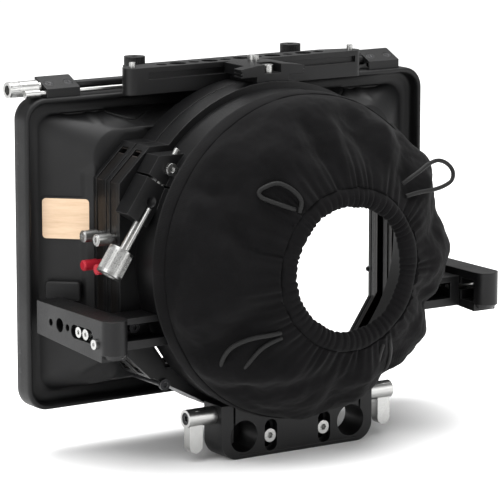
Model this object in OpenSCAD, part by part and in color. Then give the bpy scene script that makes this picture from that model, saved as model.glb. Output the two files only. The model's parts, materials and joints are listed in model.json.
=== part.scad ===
// Matte box with a hood, two filter stages and a fabric donut, for a cine camera on two rods.
// Frame: origin midway between the two rod axes, on the rear face of the rod bracket.
// +X is to the right seen from behind, +Y is forward along the lens axis, +Z is up.

/* [Rod bracket] */
// Diameter of each support rod
rod_d = 15; // [12:0.5:16]
// Distance between the two rod axes
rod_spacing = 60; // [58:1:70]
// Radial clearance of a rod in its open clamp
rod_clearance = 0.05; // [0.02:0.01:0.15]
// Thickness of the bracket along the rods
bracket_t = 15; // [12:1:17]
// Material outside each rod bore, to the side
bracket_side_wall = 4.7; // [4:0.1:8]
// Depth of the bracket below the rod axes
bracket_drop = 10.5; // [9.5:0.5:14]
// Height of the bracket's two shoulders above the rod axes
bracket_shoulder = 15.5; // [14:0.5:18]
// Radius of the bracket's bottom corners
bracket_corner_r = 9; // [4:0.5:9.5]
// Width of the slit that closes on each rod
slit_w = 1.2; // [0.8:0.1:2]
// Offset of each slit outward from its rod axis
slit_offset = 5.2; // [4:0.1:6]
// Distance between the two height adjusting screws
height_screw_spacing = 30; // [24:1:34]
// Travel of the matte box up its height slots
height_travel = 4.4; // [2:0.2:4.4]

/* [Clamp levers] */
// Height of the lever axes above the rod axes
lever_z = 10.4; // [10.2:0.1:10.6]
// Diameter of the lever hub
lever_hub_d = 8.4; // [7:0.2:9]
// Length of the lever hub
lever_hub_len = 15; // [12:0.5:20]
// Reach of the lever handle below the hub's axis
lever_reach = 12.9; // [10:0.1:26]
// Width of the lever handle
lever_w = 7; // [5:0.2:9]

/* [Lens port] */
// Height of the lens axis above the rod axes
lens_z = 82; // [80:0.5:88]
// Bore of the split ring that grips the lens adapter
port_bore_d = 143; // [120:1:144]
// Wall of the split ring
ring_wall = 4.1; // [3:0.1:5]
// Length of the split ring along the lens axis
ring_len = 14.4; // [10:0.2:15]
// Angle of the ring's split from the right, seen from behind
split_angle = 145.7; // [140:0.5:150]
// Width of the ring's split
split_w = 1.1; // [0.6:0.1:2]

/* [Filter stages] */
// Distance of the rear stage's rear face in front of the bracket's rear face
stage_y = 20.4; // [20:0.2:24]
// Thickness of each filter stage
stage_t = 11; // [10:0.5:13]
// Gap that shows between the two stages
stage_gap = 0.8; // [0.4:0.1:1.5]
// Half width of a stage
stage_half_w = 84; // [83:0.5:88]
// Half height of a stage
stage_half_h = 54; // [54:0.5:57]
// Radius of the stages' round crown
crown_r = 78.9; // [76:0.1:82]
// Thickness of a filter tray
tray_t = 5.6; // [4.6:0.1:6.6]
// Half height of a filter tray
tray_half_h = 51.8; // [50:0.1:52]
// Half width of the clear window
window_half_w = 70; // [60:0.5:72]
// Half height of the clear window
window_half_h = 48.5; // [40:0.5:49]
// Running clearance of the trays in their slots, each side
tray_clearance = 0.15; // [0.08:0.01:0.3]

/* [Hood] */
// Outer width of the hood's rim
hood_w = 223; // [214:1:240]
// Outer height of the hood's rim
hood_h = 145.4; // [140:0.5:150]
// Height of the hood's centre above the lens axis
hood_rise = 1.4; // [0:0.1:4]
// Depth of the flare from the stages to the rim
flare_depth = 13; // [11:0.2:17]
// Depth of the rim along the lens axis
rim_t = 11.7; // [9:0.1:20]
// Wall of the moulded hood
hood_wall = 2.6; // [2:0.1:3.5]
// Corner radius of the rim
rim_corner_r = 10; // [6:0.5:14]

/* [Top bar and flag hinge] */
// Length of the accessory bar
bar_len = 131.4; // [120:0.2:140]
// Depth of the accessory bar
bar_t = 13; // [12:0.5:15]
// Height of the accessory bar
bar_h = 12.4; // [10:0.2:14]
// Pitch of the row of accessory holes
hole_pitch = 8.8; // [8:0.1:10]
// Number of accessory holes
hole_count = 11; // [5:2:11]
// Diameter of the flag rod
flag_rod_d = 4.4; // [3.6:0.1:4.8]
// Distance from the middle to the inner face of each hinge block
hinge_x = 81.5; // [76:0.5:82]
// Width of each hinge block
hinge_w = 17.5; // [14:0.5:18]
// Distance between the two flag clamp nuts
nut_spacing = 88; // [70:1:92]

/* [Side arms] */
// Distance from the middle to the outer face of each side arm
arm_x = 110; // [108:0.5:114]
// Thickness of each side arm
arm_t = 12.5; // [12:0.5:15]
// Depth of a side arm's lowest point below the lens axis
arm_drop = 36.4; // [34:0.2:38]
// Height of a side arm at its rear end
arm_h = 19; // [17:0.2:21]
// Height of a side arm at its front end
arm_front_h = 15.4; // [14:0.2:17]
// Travel of a side arm either way along its slot
arm_travel = 2.5; // [1:0.5:3]

/* [Donut] */
// Radius of the fabric donut where it meets the ring
donut_r = 75.6; // [74:0.1:76]
// Depth of the donut behind the bracket's rear face
donut_depth = 39; // [30:1:48]
// Radius of the gathered opening
donut_opening_r = 28.5; // [20:0.5:34]
// Thickness of the gathered fabric
fabric_t = 2.5; // [1.5:0.1:4]
// Diameter of the elastic draw cord
draw_cord_d = 2; // [1.6:0.1:2.4]

/* [Hidden] */
$fn = 96;

// Small gaps and overshoots shared by all parts
seat_gap = 0.1;
running_gap = 0.05;
cut = 1;
black = [0.075, 0.075, 0.08];
dark_grey = [0.13, 0.13, 0.135];
silver = [0.78, 0.78, 0.77];
red = [0.62, 0.08, 0.12];
wood = [0.80, 0.66, 0.47];
cloth = [0.05, 0.05, 0.05];

// Rod bracket
rod_bore_d = rod_d + 2 * rod_clearance;
bracket_half_w = rod_spacing / 2 + rod_bore_d / 2 + bracket_side_wall;
slit_x = rod_spacing / 2 + slit_offset;
lever_y = bracket_t / 2;
lever_screw_d = 3;
lever_screw_inner = slit_x - slit_w / 2 - 4.8;
lever_hub_x = bracket_half_w + seat_gap;
lever_head_d = 5.6;
height_head_d = 6.4;
height_head_h = 3.2;
height_screw_z = -1.6;
slot_tail = 3.7;
height_shank_d = 4;
slot_clearance = 0.3;
slot_bottom = height_screw_z - slot_tail - height_head_d / 2 - slot_clearance;
slot_top = height_screw_z + height_travel + height_head_d / 2 + slot_clearance;
slot_depth = 4;

// Lens port and its split ring
port_r = port_bore_d / 2;
ring_r = port_r + ring_wall;
ring_y = stage_y - ring_len;
nest_gap = 0.4;
ear_inner = ring_r - 2;
ear_outer = ring_r + 10.6;
ear_y = ring_y + 3.7;
ear_upper = -10.5;
ear_lower = 27;
split_z = 6.8;
ear_top = lens_z + 51.2;
bolt_r = ring_r + 1.9;
bolt_d = 3;
bolt_y = ear_y + 3;
bolt_end = ear_upper - 0.7;
clamp_knob_z = 41.5;
clamp_knob_len = 13;
clamp_knob_d = 12;
guide_d = 2.2;
guide_y = ear_y - guide_d / 2;
guide_r = ring_r + 2.4;
guide_z = 16.3;
guide_ball_r = 3.4;
face_screw_r = ring_r + 2;
face_screw_z = -1.1;
face_screw_d = 5.8;

// Filter stages, one behind the other
front_stage_y = stage_y + stage_t + stage_gap;
stages_front = front_stage_y + stage_t;
stage_corner = [16.3, 15.6];
stage_foot = 8;
stage_screw_z = lens_z - stage_half_h - 3.2;
stage_foot_half_w = 28;
skirt_half_w = 66;
tray_end_wall = 4.8;
tray_lip = 0.4;
window_corner = [12, 17.5];
tray_knob_z = lens_z + 12.5;
tray_button_z = lens_z - 1;
tray_knob_d = 5.6;
tray_knob_reach = 9.5;
button_d = 5;
button_reach = 9.5;
button_travel = 2;
button_depth = 3;

// Hood
hood_z = lens_z + hood_rise;
rim_y = stages_front + flare_depth;
hood_mouth_y = rim_y + rim_t;
hood_back_y = stages_front;
rim_half_w = hood_w / 2;
rim_half_h = hood_h / 2;
hood_top = hood_z + rim_half_h;
flare_inset = 4;
flare_back_half_w = stage_half_w - 0.85;
flare_back_half_h = stage_half_h + 5.2;
flare_front_half_w = rim_half_w - flare_inset;
flare_front_half_h = rim_half_h - flare_inset;
flare_back_r = 14;
flare_slope = (rim_y + 0.5 - hood_back_y) / (flare_front_half_w - flare_back_half_w);
funnel_half_w = flare_back_half_w - hood_wall;
funnel_half_h = flare_back_half_h - hood_wall;
side_hole_z = [-54, -44.9, 43.6, 53];
label_size = [20.4, 1.4, 19.2];
label_x = -flare_back_half_w - 1.45 - label_size[0] / 2 * cos(atan(flare_slope));
label_z = lens_z + 18.6;

// Place along Y of the flare's rear surface at a distance from the middle
function flare_y(x) = hood_back_y + (x - flare_back_half_w) * flare_slope;

// Top bar, its bracket and the flag hinge
bar_y = hood_back_y + 0.6;
bar_z = hood_top;
bar_front = bar_y + bar_t;
bar_x = 1.5;
bar_nose_r = 4.7;
bar_stud_x = bar_len / 2 - bar_nose_r;
bar_stud_y = bar_y + bar_nose_r;
bar_screw_x = hole_pitch / 2 + 0.9;
bar_screw_z = bar_z + bar_h - 3;
bar_screw_d = 2;
bar_screw_head_d = 3.6;
neck_half_w = 8.8;
saddle_half_w = 12;
wing_half_w = 17.6;
wing_t = 6.2;
wing_z = bar_z + 7.2;
bracket_block_top = bar_z + bar_h + 0.4;
flag_y = hood_mouth_y - 2.4;
flag_z = hood_top + 4.1;
hinge_y = rim_y + 2.4;
hinge_front = flag_y + 4.6;
hinge_front_h = 8.6;
hinge_back_h = 4.1;
hinge_screw_d = 4;
latch_y = hinge_y + 1.6;
latch_z = hood_top + 2.2;
latch_d = 2.2;
latch_head_d = 3.6;
latch_travel = 12;
carrier_half_w = nut_spacing / 2 + 4;
carrier_plate_y = flag_y - 1.5;
carrier_front = flag_y + 10.5;
carrier_plate_z = flag_z + 2.9;
carrier_plate_t = 2.8;
knuckle_x = 26;
knuckle_w = 10;
knuckle_r = 3.8;
nut_y = flag_y + 6.5;
nut_d = 10;
nut_h = 4.2;

// Side arms and their brackets
arm_nose_y = -6.5;
arm_inner = arm_x - arm_t;
arm_z = lens_z - arm_drop;
arm_front = flare_y(arm_inner) - 0.2;
arm_mid_z = arm_z + 10.3;
arm_slot_screws = [8.3, 14.5];
arm_slot_tail = 5.7;
side_bracket_y = 5.6;
side_bracket_z = arm_z + 1.2;
side_bracket_h = 14.4;
side_bracket_inner = 66;
bracket_screw_x = stage_half_w - 4.5;
bracket_screw_z = side_bracket_z + 7.6;
stop_y = -1.6;
stop_z = arm_mid_z - 2.6;

// Fabric donut
hem_y = ring_y - 0.6;
hoop_r = port_r - 0.15;
hoop_lip_r = donut_r - 1.3;
fabric_clearance = 0.3;

// Outline of the donut behind its hem, from the opening out to the ring: radius, then place along Y
donut_back = [
    [donut_opening_r, -donut_depth + 1], [donut_opening_r + 6, -donut_depth], [donut_r - 30, -donut_depth * 0.9],
    [donut_r - 14, -donut_depth * 0.66], [donut_r - 3.5, -15], [donut_r, -6]
];

// Routes of the draw cord's free loops: X, height above the lens axis, and how far behind the fabric
upper_left_route = [
    [-25, 28, -0.3], [-24.4, 33, 1.6], [-26.7, 37, 2.2], [-30.3, 40, 3], [-34, 41.5, 3], [-38.2, 40.5, 2.5],
    [-41.8, 38.2, 1.8], [-41.3, 35.6, 1.6], [-37, 33.4, 1.6], [-32, 31.3, 1.6], [-26.9, 29.4, -0.3]
];
lower_left_route = [
    [-33.6, -26.4, -0.3], [-40, -27, 1.6], [-45.7, -28, 1.8], [-51, -30, 2], [-54.6, -33.2, 2.4], [-55.7, -38, 2.4],
    [-55.1, -42.7, 2], [-52.2, -46.2, 1.8], [-49, -46.6, 1.8], [-47, -43.6, 1.8], [-45.2, -39.2, 1.7],
    [-42.2, -34.1, 1.6], [-38.4, -30.6, 1.6], [-32.9, -28.8, -0.3]
];
upper_right_route = [
    [36, 34.8, -0.3], [39.5, 37.2, 3], [45, 40, 6.5], [50.5, 42.6, 11], [56.2, 43.8, 16], [62, 41.7, 22.8],
    [65.7, 37.7, 24.6], [64.4, 33.8, 18.2], [59.5, 31.7, 12.6], [53.2, 30.7, 7.4], [47, 30.4, 4.8],
    [42, 30.2, 3], [36.3, 29.2, -0.3]
];
lower_right_route = [
    [22.7, -34.2, -0.3], [21.7, -38, 1.6], [21.4, -42.8, 1.7], [22.2, -48, 1.8], [24.9, -52.1, 1.8], [28.4, -52.6, 1.8],
    [29.9, -49, 1.8], [29, -43.3, 1.7], [26.6, -38.3, 1.6], [25.9, -34.6, -0.3]
];

// Shapes shared by several parts

// A profile drawn in X and Z, made solid from y_from to y_to
module along_y(y_from, y_to) {
    translate([0, y_to, 0]) rotate([90, 0, 0]) linear_extrude(y_to - y_from) children();
}

module round_x(y, z, d, x_from, x_to) {
    translate([x_from, y, z]) rotate([0, 90, 0]) cylinder(d = d, h = x_to - x_from);
}

module round_y(x, z, d, y_from, y_to) {
    translate([x, y_from, z]) rotate([-90, 0, 0]) cylinder(d = d, h = y_to - y_from);
}

module round_z(x, y, d, z_from, z_to) {
    translate([x, y, z_from]) cylinder(d = d, h = z_to - z_from);
}

module box(x_range, y_range, z_range) {
    translate([x_range[0], y_range[0], z_range[0]])
        cube([x_range[1] - x_range[0], y_range[1] - y_range[0], z_range[1] - z_range[0]]);
}

module rounded_rect(w, h, r) {
    square([w - 2 * r, h], center = true);
    square([w, h - 2 * r], center = true);
    for (sx = [-1, 1], sy = [-1, 1])
        translate([sx * (w / 2 - r), sy * (h / 2 - r)]) circle(r);
}

// An upright slot with round ends
module slot_profile(x, z_low, z_high, w) {
    translate([x - w / 2, z_low + w / 2]) square([w, z_high - z_low - w]);
    translate([x, z_low + w / 2]) circle(d = w);
    translate([x, z_high - w / 2]) circle(d = w);
}

function clipped_rect(half_w, half_h, corner) = [
    [-half_w, -half_h + corner[1]], [-half_w + corner[0], -half_h],
    [half_w - corner[0], -half_h], [half_w, -half_h + corner[1]],
    [half_w, half_h - corner[1]], [half_w - corner[0], half_h],
    [-half_w + corner[0], half_h], [-half_w, half_h - corner[1]]
];

// A screw lying along -Y: its head's outer face is at y_head and its shank runs forward
module rear_screw(x, z, head_d, head_h, shank_d, y_head, y_end) {
    socket_d = head_d * 0.5;
    difference() {
        union() {
            round_y(x, z, head_d, y_head, y_head + head_h);
            round_y(x, z, shank_d, y_head + head_h - 0.2, y_end);
        }
        translate([x, y_head - cut, z]) rotate([-90, 0, 0]) cylinder(d = socket_d, h = cut + head_h * 0.55, $fn = 6);
    }
}

module top_screw(x, y, head_d, head_h, shank_d, z_seat, z_end) {
    difference() {
        union() {
            round_z(x, y, head_d, z_seat, z_seat + head_h);
            round_z(x, y, shank_d, z_end, z_seat + 0.2);
        }
        translate([x, y, z_seat + head_h * 0.45]) cylinder(d = head_d * 0.5, h = head_h, $fn = 6);
    }
}

// A frame that follows the tangent at the ring's split: +X outward, +Z down and to the left
module at_split() {
    translate([0, 0, lens_z]) rotate([0, -split_angle, 0]) children();
}

// Points of a tube swept along a route
function unit(v) = v / norm(v);
function route_dir(r, i) = unit(r[min(i + 1, len(r) - 1)] - r[max(i - 1, 0)]);
function route_side(r, i) = unit(cross(route_dir(r, i), [0.13, 1, 0.21]));
function route_ring(r, i, rad, sides) = [
    for (k = [0 : sides - 1])
        let (side = route_side(r, i), up = cross(route_dir(r, i), side), a = 360 * k / sides)
            r[i] + rad * (cos(a) * side + sin(a) * up)
];
// A route point set behind the donut's outline
function behind_fabric(p) = [p[0], lookup(norm([p[0], p[1]]), donut_back) - p[2], lens_z + p[1]];

module swept_cord(route, d) {
    sides = 8;
    path = [for (p = route) behind_fabric(p)];
    n = len(path);
    points = [for (i = [0 : n - 1]) each route_ring(path, i, d / 2, sides)];
    walls = [
        for (i = [0 : n - 2], k = [0 : sides - 1])
            [i * sides + k, i * sides + (k + 1) % sides, (i + 1) * sides + (k + 1) % sides, (i + 1) * sides + k]
    ];
    caps = [[for (k = [sides - 1 : -1 : 0]) k], [for (k = [0 : sides - 1]) (n - 1) * sides + k]];
    polyhedron(points, concat(walls, caps), convexity = 6);
}

// Rod bracket and its clamp levers

module bracket_profile() {
    w = 2 * bracket_half_w;
    h = bracket_shoulder + bracket_drop;
    r = bracket_corner_r;
    difference() {
        translate([0, (bracket_shoulder - bracket_drop) / 2]) {
            square([w - 2 * r, h], center = true);
            translate([0, r / 2]) square([w, h - r], center = true);
            for (sx = [-1, 1]) translate([sx * (w / 2 - r), -h / 2 + r]) circle(r);
        }
        translate([0, lens_z]) circle(ring_r + nest_gap);
    }
}

module rod_bracket() {
    groove_z = -bracket_drop + 1.6;
    color(black) difference() {
        along_y(0, bracket_t) bracket_profile();
        for (s = [-1, 1]) {
            round_y(s * rod_spacing / 2, 0, rod_bore_d, -cut, bracket_t + cut);
            box([s * slit_x - slit_w / 2, s * slit_x + slit_w / 2], [-cut, bracket_t + cut],
                [rod_bore_d / 2 - 4.2, bracket_shoulder + cut]);
            round_x(lever_y, lever_z, lever_screw_d + 2 * running_gap,
                s > 0 ? lever_screw_inner - 0.3 : -bracket_half_w - cut,
                s > 0 ? bracket_half_w + cut : -lever_screw_inner + 0.3);
            along_y(-cut, bracket_t + cut)
                slot_profile(s * height_screw_spacing / 2, height_screw_z - slot_tail - height_shank_d / 2 - slot_clearance,
                    height_screw_z + height_travel + height_shank_d / 2 + slot_clearance,
                    height_shank_d + 2 * slot_clearance);
            along_y(-cut, slot_depth)
                slot_profile(s * height_screw_spacing / 2, slot_bottom, slot_top, height_head_d + 2 * slot_clearance);
        }
        box([-bracket_half_w + bracket_corner_r, bracket_half_w - bracket_corner_r], [-cut, 0.5],
            [groove_z, groove_z + 0.6]);
    }
}

module lever(side) {
    x_near = lever_hub_x;
    x_far = lever_hub_x + lever_hub_len;
    handle_mid = x_far - lever_w / 2 - 1;
    color(silver) mirror([side < 0 ? 1 : 0, 0, 0]) difference() {
        union() {
            round_x(lever_y, lever_z, lever_hub_d, x_near, x_far);
            along_y(lever_y - 2.6, lever_y + 2.6)
                slot_profile(handle_mid, lever_z - lever_reach - lever_w / 2, lever_z + lever_w / 2, lever_w);
        }
        round_x(lever_y, lever_z, lever_screw_d + 2 * seat_gap, x_near - cut, x_far + cut);
        round_x(lever_y, lever_z, lever_head_d + 2 * seat_gap, x_far - 3, x_far + cut);
    }
}

module lever_screw(side) {
    x_far = lever_hub_x + lever_hub_len;
    color(dark_grey) mirror([side < 0 ? 1 : 0, 0, 0]) difference() {
        union() {
            round_x(lever_y, lever_z, lever_screw_d, lever_screw_inner, x_far - 2.8);
            round_x(lever_y, lever_z, lever_head_d, x_far - 2.9, x_far - 0.4);
        }
        translate([x_far - 1.9, lever_y, lever_z]) rotate([0, 90, 0]) cylinder(d = 3, h = 3, $fn = 6);
    }
}

module lever_left() lever(-1);
module lever_right() lever(1);
module lever_screw_left() lever_screw(-1);
module lever_screw_right() lever_screw(1);

// Riser plate that carries the stages, and the screws that hold it

riser_half_w = 26;
riser_back = bracket_t + seat_gap;
riser_front = stages_front - 4;
riser_low = -9;
shelf_t = 5;

module riser_plate() {
    color(black) difference() {
        union() {
            box([-riser_half_w, riser_half_w], [riser_back, stage_y + 2], [riser_low, stage_foot - 2]);
            box([-riser_half_w, riser_half_w], [stage_y, riser_front], [stage_foot - shelf_t, stage_foot]);
        }
        translate([0, 0, lens_z]) rotate([-90, 0, 0]) translate([0, 0, ring_y - cut])
            cylinder(r = ring_r + nest_gap, h = stage_y - ring_y + cut);
        for (s = [-1, 1]) {
            round_y(s * height_screw_spacing / 2, height_screw_z, height_shank_d + 2 * running_gap,
                riser_back - cut, stage_y + 2 + cut);
            for (y = [stage_y + stage_t / 2, front_stage_y + stage_t / 2]) {
                round_z(s * 18, y, 3 + 2 * running_gap, 0, stage_foot + cut);
                round_z(s * 18, y, 5.8, 0, stage_foot - 2.5);
            }
        }
    }
}

module height_screws() {
    color(silver) for (s = [-1, 1])
        rear_screw(s * height_screw_spacing / 2, height_screw_z, height_head_d, height_head_h,
            height_shank_d, slot_depth - height_head_h - seat_gap, stage_y + 1.5);
}

module riser_screws() {
    color(dark_grey) for (s = [-1, 1], y = [stage_y + stage_t / 2, front_stage_y + stage_t / 2]) {
        round_z(s * 18, y, 3, stage_foot - 3, stage_foot + 8);
        round_z(s * 18, y, 5.4, stage_foot - shelf_t + 0.2, stage_foot - 2.6);
    }
}

// Filter stages, trays, pull knobs and release buttons

module stage_profile() {
    translate([0, lens_z]) polygon(clipped_rect(stage_half_w, stage_half_h, stage_corner));
    intersection() {
        translate([0, lens_z]) circle(crown_r);
        translate([-crown_r, stage_foot]) square([2 * crown_r, lens_z + crown_r - stage_foot]);
    }
    polygon([
        [-skirt_half_w, lens_z - stage_half_h], [-stage_foot_half_w, stage_foot],
        [stage_foot_half_w, stage_foot], [skirt_half_w, lens_z - stage_half_h]
    ]);
}

module window_profile(extra) {
    translate([0, lens_z])
        polygon(clipped_rect(window_half_w + extra, window_half_h + extra, window_corner));
}

// Outline of a tray, grown by gap: chamfered at its right end and cut square by the slot's walls
module tray_outline(gap) {
    translate([0, lens_z]) {
        intersection() {
            polygon(clipped_rect(stage_half_w - tray_end_wall + gap, tray_half_h + gap, stage_corner));
            translate([0, -stage_half_h]) square([stage_half_w, 2 * stage_half_h]);
        }
        intersection() {
            polygon(clipped_rect(stage_half_w - tray_lip, stage_half_h - tray_lip, stage_corner));
            translate([-stage_half_w, -tray_half_h - gap]) square([stage_half_w, 2 * (tray_half_h + gap)]);
        }
    }
}

// The slot that a tray runs in, closed at the right and open at the left
module tray_slot_profile(gap) {
    tray_outline(gap);
    translate([-stage_half_w - cut, lens_z - tray_half_h - gap])
        square([stage_half_w, 2 * (tray_half_h + gap)]);
}

module stage(y, window_extra) {
    mid = y + stage_t / 2;
    color(black) difference() {
        along_y(y, y + stage_t) stage_profile();
        along_y(y - cut, y + stage_t + cut) window_profile(window_extra);
        along_y(mid - tray_t / 2 - tray_clearance, mid + tray_t / 2 + tray_clearance)
            tray_slot_profile(tray_clearance);
        for (s = [-1, 1]) round_z(s * 18, mid, 3 + 2 * running_gap, stage_foot - cut, stage_foot + 8.4);
        for (s = [-1, 1]) round_y(s * 61, stage_screw_z, 3.4, y - cut, y + stage_t + cut);
        round_z(0, mid, 3 + 2 * running_gap, lens_z + tray_half_h + 12, lens_z + crown_r + cut);
    }
}

module rear_stage() {
    stage(stage_y, 1.5);
    color(black) along_y(stage_y + stage_t, front_stage_y) difference() {
        translate([0, lens_z]) polygon(clipped_rect(stage_half_w - 5, stage_half_h - 0.4, stage_corner));
        window_profile(1.5);
    }
}

module front_stage() stage(front_stage_y, 3);

module stage_screws() {
    color(dark_grey) for (s = [-1, 1])
        rear_screw(s * 61, stage_screw_z, 5.4, 1.6, 3, stage_y - 1.6, hood_back_y + hood_wall + 1);
}

module tray(y) {
    mid = y + stage_t / 2;
    knob_hole = 2.4;
    color([0.30, 0.27, 0.25]) difference() {
        along_y(mid - tray_t / 2, mid + tray_t / 2) tray_outline(0);
        along_y(mid - tray_t, mid + tray_t) window_profile(0);
        along_y(mid - 2.1, mid + tray_t) translate([0, lens_z]) square([143.9, 101.8], center = true);
        round_x(mid, tray_knob_z, knob_hole + 2 * running_gap, -stage_half_w - cut, -stage_half_w + 7);
        round_x(mid, tray_button_z, button_d - 0.6, -stage_half_w - cut, -stage_half_w + 7.6);
    }
}

module tray_knob(y) {
    mid = y + stage_t / 2;
    x_face = -stage_half_w + tray_lip - seat_gap / 2;
    x_tip = -stage_half_w - tray_knob_reach;
    color(silver) difference() {
        union() {
            round_x(mid, tray_knob_z, 2.4, x_face - 0.5, -stage_half_w + 6.5);
            round_x(mid, tray_knob_z, tray_knob_d * 0.72, x_face - 2.6, x_face);
            round_x(mid, tray_knob_z, tray_knob_d, x_tip + 0.5, x_face - 2.4);
            round_x(mid, tray_knob_z, tray_knob_d - 1, x_tip, x_tip + 0.6);
        }
        round_x(mid, tray_knob_z, 2, x_tip - cut, x_tip + 1);
    }
}

module tray_button(y) {
    mid = y + stage_t / 2;
    x_face = -stage_half_w + tray_lip;
    x_tip = -stage_half_w - button_reach;
    color(red) {
        round_x(mid, tray_button_z, button_d - 0.8, x_face - 2.7, -stage_half_w + 7.4 - button_travel);
        round_x(mid, tray_button_z, button_d, x_tip + 0.5, x_face - button_travel - 0.6);
        round_x(mid, tray_button_z, button_d - 1, x_tip, x_tip + 0.6);
    }
}

module rear_tray() tray(stage_y);
module front_tray() tray(front_stage_y);
module rear_tray_knob() tray_knob(stage_y);
module front_tray_knob() tray_knob(front_stage_y);
module rear_tray_button() tray_button(stage_y);
module front_tray_button() tray_button(front_stage_y);

// Split clamp ring with its bolt and knob

module clamp_ring() {
    color(dark_grey) difference() {
        union() {
            round_y(0, lens_z, 2 * ring_r, ring_y, stage_y);
            intersection() {
                at_split() box([ear_inner, ear_outer], [ear_y, stage_y - 0.4], [ear_upper, ear_lower]);
                box([-ring_r - 40, 0], [ear_y - cut, stage_y], [lens_z - ring_r, ear_top]);
            }
        }
        round_y(0, lens_z, port_bore_d + 0.1, ring_y - cut, stage_y + cut);
        at_split() {
            box([port_r - 2 * cut, ear_outer + cut], [ring_y - cut, stage_y + cut],
                [split_z - split_w / 2, split_z + split_w / 2]);
            translate([bolt_r, bolt_y, ear_upper - cut])
                cylinder(d = bolt_d + 2 * running_gap, h = ear_lower - ear_upper + 2 * cut);
            round_y(face_screw_r, face_screw_z, 2.4, ear_y - cut, ear_y + 1.3);
            round_y(face_screw_r, face_screw_z, face_screw_d + 2 * seat_gap, ring_y - cut, ear_y);
            translate([guide_r, ear_y - 2.4, guide_z]) sphere(r = guide_ball_r + running_gap);
        }
    }
}

module clamp_bolt() {
    color(silver) at_split() difference() {
        translate([bolt_r, bolt_y, bolt_end]) cylinder(d = bolt_d, h = clamp_knob_z - bolt_end);
        translate([bolt_r, bolt_y, bolt_end - cut]) cylinder(d = 1.4, h = cut + 1);
    }
}

module clamp_knob() {
    grooves = 40;
    color(silver) at_split() translate([bolt_r, bolt_y, clamp_knob_z]) difference() {
        cylinder(d = clamp_knob_d, h = clamp_knob_len);
        for (k = [0 : grooves - 1])
            rotate(360 * k / grooves) translate([clamp_knob_d / 2 + 0.15, 0, 1.4])
                cylinder(d = 0.8, h = clamp_knob_len - 2.8, $fn = 4);
        translate([0, 0, clamp_knob_len - 1]) cylinder(d = clamp_knob_d - 5, h = 2);
    }
}

module clamp_guide_pin() {
    color(silver) at_split() {
        translate([guide_r, ear_y - 2.4, guide_z]) sphere(r = guide_ball_r);
        translate([guide_r, guide_y - 0.2, guide_z]) cylinder(d = guide_d, h = clamp_knob_z - 0.3 - guide_z);
    }
}

module clamp_face_screw() {
    color(silver) at_split()
        rear_screw(face_screw_r, face_screw_z, face_screw_d, 1.8, 2.3, ear_y - 1.8, ear_y + 1.2);
}

// Fabric donut, its hoop and the free loops of its draw cord

module donut_hoop() {
    color(black) difference() {
        union() {
            round_y(0, lens_z, 2 * hoop_r, ring_y - 2.4, stage_y - 1);
            round_y(0, lens_z, 2 * hoop_lip_r, ring_y - 2.4, ring_y);
        }
        round_y(0, lens_z, 2 * hoop_r - 6, ring_y - 2.4 - cut, stage_y);
    }
}

module donut_fabric() {
    d = donut_depth;
    r = donut_r;
    o = donut_opening_r;
    t = fabric_t;
    hem_in = hoop_lip_r + fabric_clearance;
    hoop_back = ring_y - 2.4 - fabric_clearance;
    back = [for (k = [len(donut_back) - 1 : -1 : 0]) donut_back[k]];
    front = [
        [o + 0.5, -d + t + 0.5], [o + 6, -d + t + 0.3], [r - 31, -d * 0.9 + t], [r - 16, -d * 0.66 + t],
        [r - 3.5 - t, -15 + t * 0.5], [r - t, -5], [r - t, hoop_back], [hem_in, hoop_back], [hem_in, hem_y]
    ];
    color(cloth) translate([0, 0, lens_z]) rotate([-90, 0, 0]) rotate_extrude()
        polygon(concat([[r, hem_y]], back, front));
}

module draw_loop_upper_left() color(black) swept_cord(upper_left_route, draw_cord_d);
module draw_loop_lower_left() color(black) swept_cord(lower_left_route, draw_cord_d);
module draw_loop_upper_right() color(black) swept_cord(upper_right_route, draw_cord_d);
module draw_loop_lower_right() color(black) swept_cord(lower_right_route, draw_cord_d);

// Hood

// A thin rounded slab across the lens axis, used as a rib of the flare
module flare_rib(y, half_w, half_h, r) {
    for (sx = [-1, 1], sz = [-1, 1])
        translate([sx * (half_w - r), y, hood_z + sz * (half_h - r)]) rotate([-90, 0, 0]) cylinder(r = r, h = 0.1, $fn = 32);
}

module hood_shell() {
    color(black) difference() {
        union() {
            hull() {
                flare_rib(hood_back_y, flare_back_half_w, flare_back_half_h, flare_back_r);
                flare_rib(rim_y + 0.5, flare_front_half_w, flare_front_half_h, rim_corner_r);
            }
            along_y(rim_y, hood_mouth_y) translate([0, hood_z]) rounded_rect(hood_w, hood_h, rim_corner_r);
            hood_features();
        }
        hull() {
            flare_rib(hood_back_y + hood_wall, funnel_half_w, funnel_half_h, flare_back_r - 2);
            flare_rib(rim_y + hood_wall, flare_front_half_w - hood_wall, flare_front_half_h - hood_wall,
                rim_corner_r - 2);
        }
        along_y(rim_y + hood_wall, hood_mouth_y + cut)
            translate([0, hood_z]) rounded_rect(hood_w - 2 * hood_wall, hood_h - 2 * hood_wall, rim_corner_r - hood_wall);
        along_y(hood_back_y - cut, rim_y) window_profile(4);
        for (z = side_hole_z, s = [-1, 1])
            round_x(rim_y + rim_t * 0.7, hood_z + z, 2.2, s * (rim_half_w - 1.2) - 1.5, s * (rim_half_w - 1.2) + 1.5);
        for (s = [-1, 1]) round_y(s * 61, stage_screw_z, 3.2, hood_back_y - cut, hood_back_y + hood_wall + 3);
    }
}

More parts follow.
